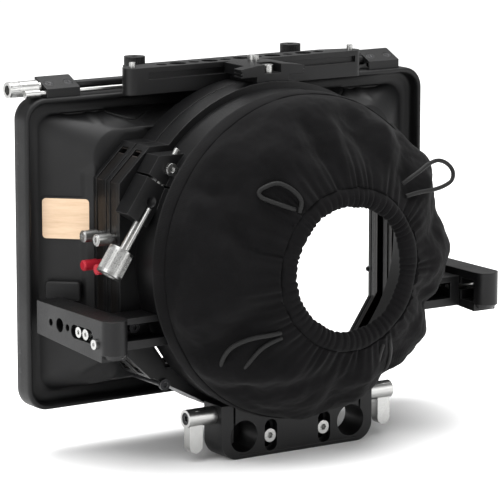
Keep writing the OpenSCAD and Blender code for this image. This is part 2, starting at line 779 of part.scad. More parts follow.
// Moulded details on the back of the hood
module hood_features() {
    for (s = [-1, 1]) {
        // Raised catch above each side arm
        box([s * 90 - 9.5, s * 90 + 9.5], [flare_y(90) + 1.2, rim_y - 1.2], [arm_z + arm_h + 0.8, arm_z + arm_h + 7.3]);
        // Boss near each upper corner
        round_y(s * 76, hood_top - 6.5, 3, rim_y - 9, rim_y - 1.2);
    }
    // Curved rib round the lower part of the stages
    for (s = [0, 1]) mirror([s, 0, 0]) along_y(hood_back_y + 1, rim_y - 3.2) intersection() {
        difference() {
            translate([0, lens_z]) circle(stage_half_w + 4.5);
            translate([0, lens_z]) circle(stage_half_w + 1.5);
        }
        polygon([[0, lens_z], [-120, lens_z - 37], [-120, lens_z - 62], [-80, lens_z - 82]]);
    }
}

module hood_inner_frame() {
    color(black) along_y(hood_back_y + hood_wall + 0.1, hood_back_y + hood_wall + 2.1) difference() {
        translate([0, hood_z]) rounded_rect(2 * funnel_half_w - 0.6, 2 * funnel_half_h - 0.6, flare_back_r - 1.7);
        window_profile(4);
    }
}

module hood_screws() {
    color(dark_grey) for (sx = [-1, 1], sz = [-1, 1])
        rear_screw(sx * (window_half_w + 4.6), lens_z + sz * 22, 2.6, 1.2, 1.6,
            hood_back_y + hood_wall + 2.2, hood_back_y + hood_wall + 3.6);
}

module label_plate() {
    tilt = atan(flare_slope);
    face_y = flare_y(-label_x);
    color(wood) translate([label_x, face_y, label_z]) rotate([0, 0, -tilt]) translate([0, -label_size[1] - 0.05, 0])
        along_y(0, label_size[1]) rounded_rect(label_size[0], label_size[2], 2);
}

// Accessory bar on top, and the bracket that joins it to the stages

// Outline of the bar: full depth in the middle, narrowing to a round nose at each end
module bar_outline() {
    shoulder = bar_stud_x - 12;
    reach = [shoulder - bar_stud_x, bar_t - bar_nose_r];
    touch = atan2(reach[1], reach[0]) - acos(bar_nose_r / norm(reach));
    translate([-shoulder - 0.1, bar_y]) square([2 * shoulder + 0.2, bar_t]);
    for (s = [0, 1]) mirror([s, 0, 0]) {
        translate([bar_stud_x, bar_stud_y]) circle(bar_nose_r);
        polygon([
            [shoulder, bar_y], [bar_stud_x, bar_y], [bar_stud_x, bar_stud_y],
            [bar_stud_x + bar_nose_r * cos(touch), bar_stud_y + bar_nose_r * sin(touch)], [shoulder, bar_front]
        ]);
    }
}

module top_bar() {
    mid_y = bar_y + bar_t / 2;
    color(black) translate([bar_x, 0, 0]) difference() {
        translate([0, 0, bar_z]) linear_extrude(bar_h) bar_outline();
        for (k = [0 : hole_count - 1]) {
            x = (k - (hole_count - 1) / 2) * hole_pitch;
            round_z(x, mid_y, k % 2 == 0 ? 5.1 : 8, bar_z - cut, bar_z + bar_h + cut);
        }
        // Long grooves in the rear face and the front face
        box([-bar_stud_x + 6, bar_stud_x], [bar_y - cut, bar_y + 1.6], [bar_z + 6.9, bar_z + 9.9]);
        box([-bar_stud_x + 14, bar_stud_x - 14], [bar_front - 1.4, bar_front + cut], [bar_z + 4, bar_z + 7]);
        for (s = [-1, 1]) round_z(s * bar_stud_x, bar_stud_y, 3.1, bar_z + bar_h - 6, bar_z + bar_h + cut);
        for (s = [-1, 1]) translate([-bar_x, 0, 0]) {
            round_y(bar_x + s * bar_screw_x, bar_screw_z, bar_screw_d + 2 * running_gap, bar_y - cut, bar_front + cut);
            round_y(bar_x + s * bar_screw_x, bar_screw_z, bar_screw_head_d + 0.3, bar_front - 2, bar_front + cut);
        }
    }
}

module bar_studs() {
    color(silver) for (s = [-1, 1])
        round_z(bar_x + s * bar_stud_x, bar_stud_y, 3, bar_z + bar_h - 5.8, bar_z + bar_h + 2.4);
}

// Bracket on the stages' crown: a neck, a saddle that meets the bar, and two wings at the rear
module top_bracket() {
    arch_r = 90;
    color(black) difference() {
        intersection() {
            union() {
                box([-neck_half_w, neck_half_w], [stage_y + 0.6, bar_y], [lens_z + 60, bracket_block_top]);
                box([-saddle_half_w, saddle_half_w], [stage_y + 0.6, bar_y], [wing_z, bracket_block_top]);
                box([-wing_half_w, wing_half_w], [stage_y + 0.6, stage_y + 0.6 + wing_t], [wing_z, bracket_block_top]);
            }
            round_y(0, bracket_block_top - arch_r, 2 * arch_r, stage_y, bar_y + cut);
        }
        round_y(0, lens_z, 2 * crown_r + seat_gap, stage_y - cut, bar_y + cut);
        // Notch that the rear screw sits in
        box([-4.6, 4.6], [stage_y - cut, stage_y + 9.4], [bracket_block_top - 4.4, bracket_block_top + cut]);
        for (y = [stage_y, front_stage_y])
            round_z(0, y + stage_t / 2, 3 + 2 * running_gap, lens_z + 60, bracket_block_top + cut);
        for (s = [-1, 1])
            round_y(bar_x + s * bar_screw_x, bar_screw_z, bar_screw_d + 2 * running_gap, bar_y - 5, bar_y + cut);
        // Grooved ends
        for (s = [-1, 1], k = [1 : 2])
            box([s * wing_half_w - 0.8, s * wing_half_w + 0.8], [stage_y, bar_y + cut],
                [bracket_block_top - 1.9 - 1.5 * k, bracket_block_top - 1.3 - 1.5 * k]);
    }
}

module top_bracket_screws() {
    color(silver) {
        top_screw(0, stage_y + stage_t / 2, 5.4, 3.6, 3, bracket_block_top - 4.4, lens_z + tray_half_h + 12.4);
        top_screw(0, front_stage_y + stage_t / 2, 5.4, 2.4, 3, bracket_block_top, lens_z + tray_half_h + 12.4);
        for (s = [-1, 1]) mirror([0, 1, 0])
            rear_screw(bar_x + s * bar_screw_x, bar_screw_z, bar_screw_head_d, 1.6, bar_screw_d,
                -bar_front + 0.3, -bar_y + 4.8);
    }
}

// Flag hinge on top of the hood

module hinge_block(side) {
    x_near = side > 0 ? hinge_x : -hinge_x - hinge_w;
    color(black) difference() {
        translate([x_near, 0, hood_top]) rotate([90, 0, 90]) linear_extrude(hinge_w) polygon([
            [hinge_y, 0], [hinge_front, 0], [hinge_front, hinge_front_h], [hinge_front - 1.5, hinge_front_h], [hinge_y, hinge_back_h]
        ]);
        round_x(flag_y, flag_z, flag_rod_d + 2 * running_gap, x_near - cut, x_near + hinge_w + cut);
        round_x(latch_y, latch_z, latch_d + 2 * running_gap, x_near - cut, x_near + hinge_w + cut);
        at_hinge_screws(side) translate([0, 0, -0.55]) cylinder(d = hinge_screw_d + 0.4, h = 3);
    }
}

// Places of the two small socket screws in a block's sloping top
module at_hinge_screws(side) {
    slope = atan2(hinge_front_h - hinge_back_h, hinge_front - 1.5 - hinge_y);
    mid = (hinge_front - 1.5 - hinge_y) / 2;
    for (k = [-1, 1])
        translate([side * (hinge_x + hinge_w / 2) + k * 5.1, hinge_y, hood_top + hinge_back_h])
            rotate([slope, 0, 0]) translate([0, mid, 0]) children();
}

module hinge_block_screws() {
    color([0.02, 0.02, 0.02]) for (s = [-1, 1])
        at_hinge_screws(s) difference() {
            translate([0, 0, -0.5]) cylinder(d = hinge_screw_d, h = 0.45);
            translate([0, 0, -0.35]) cylinder(d = hinge_screw_d / 2, h = 1, $fn = 6);
        }
}

module flag_rod() {
    color(black) round_x(flag_y, flag_z, flag_rod_d, -hinge_x - hinge_w, hinge_x + hinge_w);
}

module flag_knob() {
    x_near = -hinge_x - hinge_w - 2;
    color(silver) difference() {
        union() {
            round_x(flag_y, flag_z, 7.4, x_near - 15, x_near);
            round_x(flag_y, flag_z, 5.4, x_near, x_near + 1.8);
        }
        round_x(flag_y, flag_z, 4.6, x_near - 15 - cut, x_near - 11);
        for (k = [0 : 23]) rotate_about_x(360 * k / 24, flag_y, flag_z)
            box([x_near - 14, x_near - 9], [flag_y - 0.25, flag_y + 0.25], [flag_z + 3.5, flag_z + 5]);
    }
}

module rotate_about_x(angle, y, z) {
    translate([0, y, z]) rotate([angle, 0, 0]) translate([0, -y, -z]) children();
}

module latch_pin() {
    x_face = -hinge_x - hinge_w - 0.3;
    color(silver) {
        round_x(latch_y, latch_z, latch_d, x_face - 3.2, -bar_len / 2 + 14);
        round_x(latch_y, latch_z, latch_head_d, x_face - 10.6, x_face - 3);
    }
}

module flag_carrier() {
    plate_top = carrier_plate_z + carrier_plate_t;
    color(black) difference() {
        union() {
            box([-carrier_half_w, carrier_half_w], [carrier_plate_y, carrier_front], [carrier_plate_z, plate_top]);
            for (s = [-1, 1]) {
                x_low = s * (knuckle_x + knuckle_w / 2) - knuckle_w / 2;
                round_x(flag_y, flag_z, 2 * knuckle_r, x_low, x_low + knuckle_w);
                box([x_low, x_low + knuckle_w], [flag_y - 1.5, flag_y + 3], [flag_z, carrier_plate_z + 0.2]);
            }
        }
        round_x(flag_y, flag_z, flag_rod_d + 2 * running_gap, -carrier_half_w, carrier_half_w);
        for (s = [-1, 1]) round_z(s * nut_spacing / 2, nut_y, 3.1, carrier_plate_z - cut, plate_top + cut);
    }
}

module flag_studs() {
    color(silver) for (s = [-1, 1])
        round_z(s * nut_spacing / 2, nut_y, 3, carrier_plate_z + 0.2, carrier_plate_z + carrier_plate_t + nut_h - 0.8);
}

module flag_nut(side) {
    z = carrier_plate_z + carrier_plate_t + seat_gap;
    grooves = 30;
    color(black) translate([side * nut_spacing / 2, nut_y, z]) difference() {
        cylinder(d = nut_d, h = nut_h);
        translate([0, 0, -cut]) cylinder(d = 3 + 2 * running_gap, h = nut_h + 2 * cut);
        for (k = [0 : grooves - 1])
            rotate(360 * k / grooves) translate([nut_d / 2 + 0.1, 0, 0.5]) cylinder(d = 0.7, h = nut_h - 1, $fn = 4);
    }
}

module flag_nut_left() flag_nut(-1);
module flag_nut_right() flag_nut(1);
module hinge_block_left() hinge_block(-1);
module hinge_block_right() hinge_block(1);

// Side brackets and side arms

module side_bracket(side) {
    x_out = arm_inner - seat_gap;
    z_top = side_bracket_z + side_bracket_h;
    color(black) mirror([side < 0 ? 1 : 0, 0, 0]) difference() {
        box([side_bracket_inner, x_out], [side_bracket_y, stage_y], [side_bracket_z, z_top]);
        round_y(0, lens_z, 2 * (ring_r + nest_gap), ring_y - cut, stage_y + cut);
        box([side_bracket_inner - cut, x_out - 5], [side_bracket_y - cut, stage_y - 3],
            [side_bracket_z + 3.9, z_top - 2.8]);
        for (y = arm_slot_screws) round_x(y, arm_mid_z, 2.5 + 2 * running_gap, x_out - 5 - cut, x_out + cut);
        round_y(bracket_screw_x, bracket_screw_z, 3.1, side_bracket_y, stage_y + cut);
    }
}

module side_bracket_screws() {
    color(dark_grey) for (s = [-1, 1])
        rear_screw(s * bracket_screw_x, bracket_screw_z, 5.2, 2, 3, stage_y - 5.1, stage_y - 0.1);
}

module arm(side) {
    z_top = arm_z + arm_h;
    mid_x = arm_x - arm_t / 2;
    slot_low = arm_slot_screws[0] - arm_slot_tail;
    slot_high = arm_slot_screws[1] + arm_travel + 1.5;
    color(black) mirror([side < 0 ? 1 : 0, 0, 0]) difference() {
        union() {
            translate([arm_inner, 0, 0]) rotate([90, 0, 90]) linear_extrude(arm_t) polygon([
                [arm_nose_y, arm_z], [arm_front, z_top - arm_front_h], [arm_front, z_top], [arm_nose_y, z_top]
            ]);
            round_z(mid_x, arm_nose_y, arm_t, arm_z + 3.4, z_top);
            translate([mid_x, arm_nose_y, arm_z + 1.4]) cylinder(d1 = arm_t - 4, d2 = arm_t, h = 2.1);
        }
        // Pocket behind the bracket, open towards the middle
        box([arm_inner - cut, arm_x - 4.5], [arm_nose_y + 0.5, side_bracket_y - 1.6], [arm_z + 4.4, z_top - 4]);
        // Slot for the two clamping screws, with a sunk step on the outside
        arm_slot(arm_inner - cut, arm_x + cut, slot_low, slot_high, 2.9);
        arm_slot(arm_x - 2.2, arm_x + cut, slot_low - 1.7, slot_high + 1.7, 6.2);
        // Row of locating and threaded holes
        for (y = [38.3, 23.4]) round_x(y, arm_mid_z + 0.6, 3.3, arm_inner - cut, arm_x + cut);
        round_x(30.3, arm_mid_z + 0.6, 6.4, arm_inner - cut, arm_x + cut);
        round_x(stop_y, stop_z, 3 + 2 * running_gap, arm_x - 6, arm_x + cut);
    }
}

module arm_slot(x_from, x_to, y_low, y_high, w) {
    box([x_from, x_to], [y_low + w / 2, y_high - w / 2], [arm_mid_z - w / 2, arm_mid_z + w / 2]);
    for (y = [y_low + w / 2, y_high - w / 2]) round_x(y, arm_mid_z, w, x_from, x_to);
}

module arm_screws(side) {
    seat = arm_x - 2.2;
    color(silver) mirror([side < 0 ? 1 : 0, 0, 0]) for (y = arm_slot_screws) difference() {
        union() {
            round_x(y, arm_mid_z, 5, seat + seat_gap, seat + 1.8);
            round_x(y, arm_mid_z, 2.5, arm_inner - 4.6, seat + 0.4);
        }
        translate([seat + 0.9, y, arm_mid_z]) rotate([0, 90, 0]) cylinder(d = 2.2, h = 2, $fn = 6);
    }
}

module arm_stop_screw(side) {
    color(silver) mirror([side < 0 ? 1 : 0, 0, 0]) difference() {
        union() {
            round_x(stop_y, stop_z, 3, arm_x - 5.8, arm_x + 0.2);
            round_x(stop_y, stop_z, 4.6, arm_x + 0.02, arm_x + 1.3);
        }
        translate([arm_x + 0.6, stop_y, stop_z]) rotate([0, 90, 0]) cylinder(d = 2, h = 2, $fn = 6);
    }
}

module side_bracket_left() side_bracket(-1);
module side_bracket_right() side_bracket(1);
module arm_left() arm(-1);
module arm_right() arm(1);
module arm_screws_left() arm_screws(-1);
module arm_screws_right() arm_screws(1);
module arm_stop_screw_left() arm_stop_screw(-1);
module arm_stop_screw_right() arm_stop_screw(1);

rod_bracket();
lever_left();
lever_right();
lever_screw_left();
lever_screw_right();
riser_plate();
height_screws();
riser_screws();
rear_stage();
front_stage();
stage_screws();
rear_tray();
front_tray();
rear_tray_knob();
front_tray_knob();
rear_tray_button();
front_tray_button();
clamp_ring();
clamp_bolt();
clamp_knob();
clamp_guide_pin();
clamp_face_screw();
donut_hoop();
donut_fabric();
draw_loop_upper_left();
draw_loop_lower_left();
draw_loop_upper_right();
draw_loop_lower_right();
hood_shell();
hood_inner_frame();
hood_screws();
label_plate();
top_bar();
top_bracket();
top_bracket_screws();
bar_studs();
hinge_block_left();
hinge_block_right();
hinge_block_screws();
flag_rod();
flag_knob();
latch_pin();
flag_carrier();
flag_studs();
flag_nut_left();
flag_nut_right();
side_bracket_left();
side_bracket_right();
side_bracket_screws();
arm_left();
arm_right();
arm_screws_left();
arm_screws_right();
arm_stop_screw_left();
arm_stop_screw_right();
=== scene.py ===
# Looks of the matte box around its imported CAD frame. Millimetres below are turned into metres by MM.
import json
import math

import bmesh
import bpy
import numpy as np
from mathutils import Matrix, Vector, noise


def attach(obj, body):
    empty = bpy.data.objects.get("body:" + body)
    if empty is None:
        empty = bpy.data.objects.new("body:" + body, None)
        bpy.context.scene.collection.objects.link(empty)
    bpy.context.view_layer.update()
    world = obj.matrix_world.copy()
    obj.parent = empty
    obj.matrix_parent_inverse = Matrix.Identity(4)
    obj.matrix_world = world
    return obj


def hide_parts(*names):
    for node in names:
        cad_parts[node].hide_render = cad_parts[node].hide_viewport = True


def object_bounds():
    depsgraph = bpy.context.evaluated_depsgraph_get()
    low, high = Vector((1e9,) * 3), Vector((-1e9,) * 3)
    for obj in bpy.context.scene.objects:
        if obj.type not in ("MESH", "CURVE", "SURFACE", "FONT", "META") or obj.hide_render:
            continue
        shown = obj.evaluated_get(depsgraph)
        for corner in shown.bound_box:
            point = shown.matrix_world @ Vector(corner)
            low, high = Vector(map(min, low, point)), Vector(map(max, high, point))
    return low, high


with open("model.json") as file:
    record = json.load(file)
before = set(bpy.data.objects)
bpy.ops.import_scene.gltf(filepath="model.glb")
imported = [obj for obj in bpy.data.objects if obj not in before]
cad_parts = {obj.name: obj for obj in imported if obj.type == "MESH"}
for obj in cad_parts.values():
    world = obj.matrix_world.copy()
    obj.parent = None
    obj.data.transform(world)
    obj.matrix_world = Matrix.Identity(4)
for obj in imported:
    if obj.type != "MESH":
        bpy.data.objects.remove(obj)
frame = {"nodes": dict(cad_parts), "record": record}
cad_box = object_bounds()

MM = 0.001
LENS_Z = 82.0
HOOD_Z = 83.4
VALLEY_Y = 62.6
FUNNEL_FRONT = (102.5, 64.6)
FUNNEL_BACK_Y = 44.4
FUNNEL_BACK = (83.2, 58.6)
FUNNEL_SLOPE = (VALLEY_Y - FUNNEL_BACK_Y) / (FUNNEL_FRONT[0] - FUNNEL_BACK[0])
FUNNEL_TURN = math.atan(FUNNEL_SLOPE)


# ---------------------------------------------------------------- camera
SENSOR = 36
FOCAL_LENGTH = 237.18
FAR_CLIP = 50
CAMERA_AT = (-842.62, -1237.31, 363.49)
CAMERA_RIGHT = (0.8348, -0.5506, 0)
CAMERA_FORWARD = (0.5412, 0.8207, -0.1832)


def make_camera():
    data = bpy.data.cameras.new("camera")
    data.sensor_width = SENSOR
    data.lens = FOCAL_LENGTH
    data.clip_end = FAR_CLIP
    cam = bpy.data.objects.new("camera", data)
    bpy.context.scene.collection.objects.link(cam)
    right = Vector(CAMERA_RIGHT).normalized()
    forward = Vector(CAMERA_FORWARD).normalized()
    up = right.cross(forward).normalized()
    right = forward.cross(up).normalized()
    place = Matrix.Identity(4)
    for i, axis in enumerate((right, up, -forward)):
        place.col[i] = (*axis, 0)
    place.translation = Vector(CAMERA_AT) * MM
    cam.matrix_world = place
    bpy.context.scene.camera = cam


make_camera()


# ---------------------------------------------------------------- cords
# radius from the lens axis and depth of the donut's back
DONUT_BACK = [(28.5, -38), (34.5, -39), (45.6, -35.1), (61.6, -25.74), (72.1, -15), (75.6, -6)]
# X, Z and height above the fabric along each loop of draw cord
LOOPS = {
    "draw_loop_upper_left": [
        (-25, 110, -0.3), (-24.4, 115, 1.6), (-26.7, 119, 2.2), (-30.3, 122, 3), (-34, 123.5, 3),
        (-38.2, 122.5, 2.5), (-41.8, 120.2, 1.8), (-41.3, 117.6, 1.6), (-37, 115.4, 1.6), (-32, 113.3, 1.6),
        (-26.9, 111.4, -0.3)],
    "draw_loop_lower_left": [
        (-33.6, 55.6, -0.3), (-40, 55, 1.6), (-45.7, 54, 1.8), (-51, 52, 2), (-54.6, 48.8, 2.4),
        (-55.7, 44, 2.4), (-55.1, 39.3, 2), (-52.2, 35.8, 1.8), (-49, 35.4, 1.8), (-47, 38.4, 1.8),
        (-45.2, 42.8, 1.7), (-42.2, 47.9, 1.6), (-38.4, 51.4, 1.6), (-32.9, 53.2, -0.3)],
    "draw_loop_upper_right": [
        (36, 116.8, -0.3), (39.5, 119.2, 3), (45, 122, 6.5), (50.5, 124.6, 11), (56.2, 125.8, 16),
        (62, 123.7, 22.8), (65.7, 119.7, 24.6), (64.4, 115.8, 18.2), (59.5, 113.7, 12.6), (53.2, 112.7, 7.4),
        (47, 112.4, 4.8), (42, 112.2, 3), (36.3, 111.2, -0.3)],
    "draw_loop_lower_right": [
        (22.7, 47.8, -0.3), (21.7, 44, 1.6), (21.4, 39.2, 1.7), (22.2, 34, 1.8), (24.9, 29.9, 1.8),
        (28.4, 29.4, 1.8), (29.9, 33, 1.8), (29, 38.7, 1.7), (26.6, 43.7, 1.6), (25.9, 47.4, -0.3)],
}


def behind_fabric(x, z, lift):
    radii = [p[0] for p in DONUT_BACK]
    depth = float(np.interp(math.hypot(x, z - LENS_Z), radii, [p[1] for p in DONUT_BACK]))
    return Vector((x, depth - lift, z)) * MM


def smooth_line(points, steps):
    """A Catmull-Rom line through the points."""
    out = []
    for i in range(len(points) - 1):
        a, b, c, d = points[max(i - 1, 0)], points[i], points[i + 1], points[min(i + 2, len(points) - 1)]
        for s in range(steps):
            t = s / steps
            out.append(0.5 * ((2 * b) + (c - a) * t + (2 * a - 5 * b + 4 * c - d) * t * t
                              + (3 * b - a - 3 * c + d) * t ** 3))
    out.append(points[-1])
    return out


STEPS_PER_POINT = 5


def make_cord(node, route, radius):
    line = smooth_line([behind_fabric(*p) for p in route], STEPS_PER_POINT)
    curve = bpy.data.curves.new(node + "_cord", "CURVE")
    curve.dimensions = "3D"
    curve.bevel_depth = radius
    curve.bevel_resolution = 3
    curve.use_fill_caps = True
    spline = curve.splines.new("POLY")
    spline.points.add(len(line) - 1)
    for point, p in zip(spline.points, line):
        point.co = (*p, 1)
    obj = bpy.data.objects.new(node + "_cord", curve)
    bpy.context.scene.collection.objects.link(obj)
    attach(obj, "matte_box")
    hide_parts(node)
    return obj


CORD_RADIUS = 1.0
cords = [make_cord(node, route, CORD_RADIUS * MM) for node, route in LOOPS.items()]


# ---------------------------------------------------------------- materials
class Tree:
    """A short way to write a material's nodes."""

    def __init__(self, name):
        self.mat = bpy.data.materials.new(name)
        self.mat.use_nodes = True
        self.nodes = self.mat.node_tree.nodes
        self.links = self.mat.node_tree.links
        self.shader = self.nodes["Principled BSDF"]

    def add(self, kind, **values):
        node = self.nodes.new("ShaderNode" + kind)
        for key, value in values.items():
            if key in node.inputs:
                node.inputs[key].default_value = value
            else:
                setattr(node, key.lower(), value)
        return node

    def link(self, a, b):
        self.links.new(a, b)

    def coords(self):
        return self.add("TexCoord").outputs["Object"]

    def noise(self, scale, detail=3.0, rough=0.5, vector=None):
        n = self.add("TexNoise", Scale=scale, Detail=detail, Roughness=rough)
        self.link(vector or self.coords(), n.inputs["Vector"])
        return n.outputs["Fac"]

    def ramp(self, value, low, high, a, b):
        n = self.add("MapRange")
        n.inputs["From Min"].default_value = low
        n.inputs["From Max"].default_value = high
        n.inputs["To Min"].default_value = a
        n.inputs["To Max"].default_value = b
        self.link(value, n.inputs["Value"])
        return n.outputs["Result"]

    def maths(self, how, a, b):
        n = self.add("Math")
        n.operation = how
        for i, v in enumerate((a, b)):
            if hasattr(v, "is_linked"):
                self.link(v, n.inputs[i])
            else:
                n.inputs[i].default_value = v
        return n.outputs[0]

    def mix(self, factor, a, b):
        n = self.add("Mix")
        n.data_type = "RGBA"
        self.link(factor, n.inputs["Factor"])
        n.inputs["A"].default_value = (*a, 1)
        n.inputs["B"].default_value = (*b, 1)
        return n.outputs["Result"]

    def bump(self, height, distance, strength=1.0, normal=None):
        n = self.add("Bump", Strength=strength, Distance=distance)
        self.link(height, n.inputs["Height"])
        if normal is not None:
            self.link(normal, n.inputs["Normal"])
        return n.outputs["Normal"]

    def soft_edges(self, radius):
        n = self.add("Bevel")
        n.samples = 4
        n.inputs["Radius"].default_value = radius
        return n.outputs["Normal"]


def edge_highlight_mask(t, bevel_normal):
    """1 on edges, where a highlight is painted into the colour, 0 on flats."""
    geometry = t.add("NewGeometry")
    dot = t.add("VectorMath")
    dot.operation = "DOT_PRODUCT"
    t.link(bevel_normal, dot.inputs[0])
    t.link(geometry.outputs["Normal"], dot.inputs[1])
    return t.ramp(dot.outputs["Value"], 0.995, 0.93, 0.0, 1.0)


def hard_material(name, colour, highlight_colour, metallic, rough, grain=900, bump=0.00002, edge=0.0004, brushed=None,
                  mottled=0.12):
    """Metal or plastic with fine grain, mottling and a painted highlight along its edges, patchy by noise.
    brushed stretches the grain.
    """
    t = Tree(name)
    normal = t.soft_edges(edge)
    highlight_mask = edge_highlight_mask(t, normal)
    fine = t.noise(grain, 2.0)
    broad = t.noise(45, 4.0, 0.6)
    if brushed is not None:
        mapping = t.add("Mapping")
        mapping.inputs["Scale"].default_value = brushed
        t.link(t.coords(), mapping.inputs["Vector"])
        fine = t.noise(grain, 2.0, 0.6, mapping.outputs["Vector"])
    # painted highlight: the colour is lightened along the edges, patchy by broad noise
    painted_edge_light = t.maths("MULTIPLY", highlight_mask, t.ramp(broad, 0.35, 0.7, 0.15, 0.9))
    base = t.mix(painted_edge_light, colour, highlight_colour)
    shade = t.add("Mix")
    shade.data_type = "RGBA"
    shade.blend_type = "MULTIPLY"
    t.link(t.ramp(broad, 0.3, 0.75, 0.0, mottled), shade.inputs["Factor"])
    t.link(base, shade.inputs["A"])
    shade.inputs["B"].default_value = (0.35, 0.35, 0.35, 1)
    t.link(shade.outputs["Result"], t.shader.inputs["Base Color"])
    t.shader.inputs["Metallic"].default_value = metallic
    t.shader.inputs["Specular IOR Level"].default_value = 0.28
    fine_part = t.ramp(fine, 0.3, 0.7, -0.05, 0.05)
    broad_part = t.ramp(broad, 0.3, 0.7, rough - 0.05, rough + 0.06)
    t.link(t.maths("ADD", fine_part, broad_part), t.shader.inputs["Roughness"])
    t.link(t.bump(fine, bump, 0.5, normal), t.shader.inputs["Normal"])
    return t.mat


def wood_material():
    """Pale veneer with its grain along the plate, scorched dark on the cut edges."""
    t = Tree("label_veneer")
    mapping = t.add("Mapping")
    mapping.inputs["Scale"].default_value = (1, 1, 9)
    t.link(t.coords(), mapping.inputs["Vector"])
    grain = t.noise(60, 6.0, 0.65, mapping.outputs["Vector"])
    fine = t.noise(700, 3.0, 0.6, mapping.outputs["Vector"])
    face = t.mix(t.ramp(grain, 0.3, 0.7, 0.0, 1.0), (0.56, 0.39, 0.25), (0.7, 0.52, 0.36))
    geometry = t.add("NewGeometry")
    side = t.add("VectorMath")
    side.operation = "DOT_PRODUCT"
    side.inputs[1].default_value = (-math.sin(FUNNEL_TURN), -math.cos(FUNNEL_TURN), 0)
    t.link(geometry.outputs["Normal"], side.inputs[0])
    burnt = t.add("Mix")
    burnt.data_type = "RGBA"
    t.link(t.ramp(side.outputs["Value"], 0.9, 0.6, 0.0, 1.0), burnt.inputs["Factor"])
    t.link(face, burnt.inputs["A"])
    burnt.inputs["B"].default_value = (0.05, 0.03, 0.02, 1)
    t.link(burnt.outputs["Result"], t.shader.inputs["Base Color"])
    t.link(t.ramp(fine, 0.3, 0.7, 0.5, 0.68), t.shader.inputs["Roughness"])
    t.link(t.bump(fine, 0.00003, 0.5), t.shader.inputs["Normal"])
    return t.mat


def cloth_material(name, colour, pitch):
    """A plain weave on the piece's own map: u round it, v along it, both in metres."""
    t = Tree(name)
    uv = t.add("UVMap").outputs["UV"]
    waves = []
    for axis in ("X", "Y"):
        w = t.add("TexWave")
        w.wave_type = "BANDS"
        w.bands_direction = axis
        w.inputs["Scale"].default_value = 0.314 / pitch
        w.inputs["Distortion"].default_value = 0.6
        w.inputs["Detail"].default_value = 1.0
        t.link(uv, w.inputs["Vector"])
        waves.append(w.outputs["Fac"])
    weave = t.maths("MULTIPLY", waves[0], waves[1])
    fuzz = t.noise(1500, 3.0, 0.7)
    broad = t.noise(60, 4.0, 0.6)
    height = t.maths("ADD", weave, t.maths("MULTIPLY", fuzz, 0.8))
    lighter = tuple(min(1, c * 1.9) for c in colour)
    faded = t.maths("ADD", t.maths("MULTIPLY", broad, 0.7), t.maths("MULTIPLY", fuzz, 0.3))
    t.link(t.mix(t.ramp(faded, 0.3, 0.7, 0.0, 1.0), colour, lighter), t.shader.inputs["Base Color"])
    t.link(t.ramp(fuzz, 0.3, 0.7, 0.82, 0.98), t.shader.inputs["Roughness"])
    t.shader.inputs["Sheen Weight"].default_value = 0.035
    t.shader.inputs["Sheen Roughness"].default_value = 0.45
    t.shader.inputs["Specular IOR Level"].default_value = 0.08
    t.link(t.bump(height, 0.00012, 0.6), t.shader.inputs["Normal"])
    return t.mat


def braid_material():
    t = Tree("braided_cord")
    fuzz = t.noise(2500, 2.0, 0.6)
    cells = t.add("TexVoronoi", Scale=1400.0)
    t.link(t.coords(), cells.inputs["Vector"])
    height = t.maths("ADD", cells.outputs["Distance"], fuzz)
    t.link(t.mix(t.ramp(fuzz, 0.3, 0.7, 0.0, 1.0), (0.003, 0.003, 0.003), (0.01, 0.01, 0.01)),
           t.shader.inputs["Base Color"])
    t.link(t.ramp(fuzz, 0.3, 0.7, 0.5, 0.7), t.shader.inputs["Roughness"])
    t.shader.inputs["Sheen Weight"].default_value = 0.03
    t.shader.inputs["Specular IOR Level"].default_value = 0.2
    t.link(t.bump(height, 0.0001, 0.7), t.shader.inputs["Normal"])
    return t.mat


MATERIALS = {
    "black_metal": hard_material("black_anodised", (0.0035, 0.0035, 0.0038), (0.05, 0.05, 0.05), 0.1,
                                 0.4),
    "dark_metal": hard_material("black_steel", (0.024, 0.024, 0.026), (0.26, 0.26, 0.26), 0.6, 0.4),
    "silver_metal": hard_material("satin_steel", (0.46, 0.46, 0.45), (0.7, 0.7, 0.7), 1.0, 0.3, 1400,
                                  0.00002, 0.0003, (1, 1, 6)),
    "tray_metal": hard_material("tray_anodised", (0.008, 0.007, 0.0065), (0.12, 0.1, 0.09), 0.25, 0.36),
    "hood_plastic": hard_material("moulded_black", (0.0036, 0.0036, 0.0039), (0.012, 0.012, 0.012), 0.0,
                                  0.52, 2200, 0.00005, 0.0008, None, 0.2),
    "red_plastic": hard_material("red_button", (0.42, 0.015, 0.03), (0.6, 0.08, 0.1), 0.3, 0.3),
    "label_wood": wood_material(),
    "donut_cloth": cloth_material("donut_weave", (0.0022, 0.0021, 0.0023), 0.0007),
    "cord_elastic": braid_material(),
    "hoop_plastic": hard_material("hoop_black", (0.014, 0.014, 0.014), (0.04, 0.04, 0.04), 0.0, 0.45),
}


def dress(obj, material):
    data = obj.data
    data.materials.clear()
    data.materials.append(material)
    if hasattr(data, "polygons"):
        data.polygons.foreach_set("material_index", [0] * len(data.polygons))


slots = {part["node"]: part["material_slot"] for part in frame["record"]["subparts"]}
for node, obj in frame["nodes"].items():
    dress(obj, MATERIALS[slots[node]])
for cord in cords:
    dress(cord, MATERIALS["cord_elastic"])


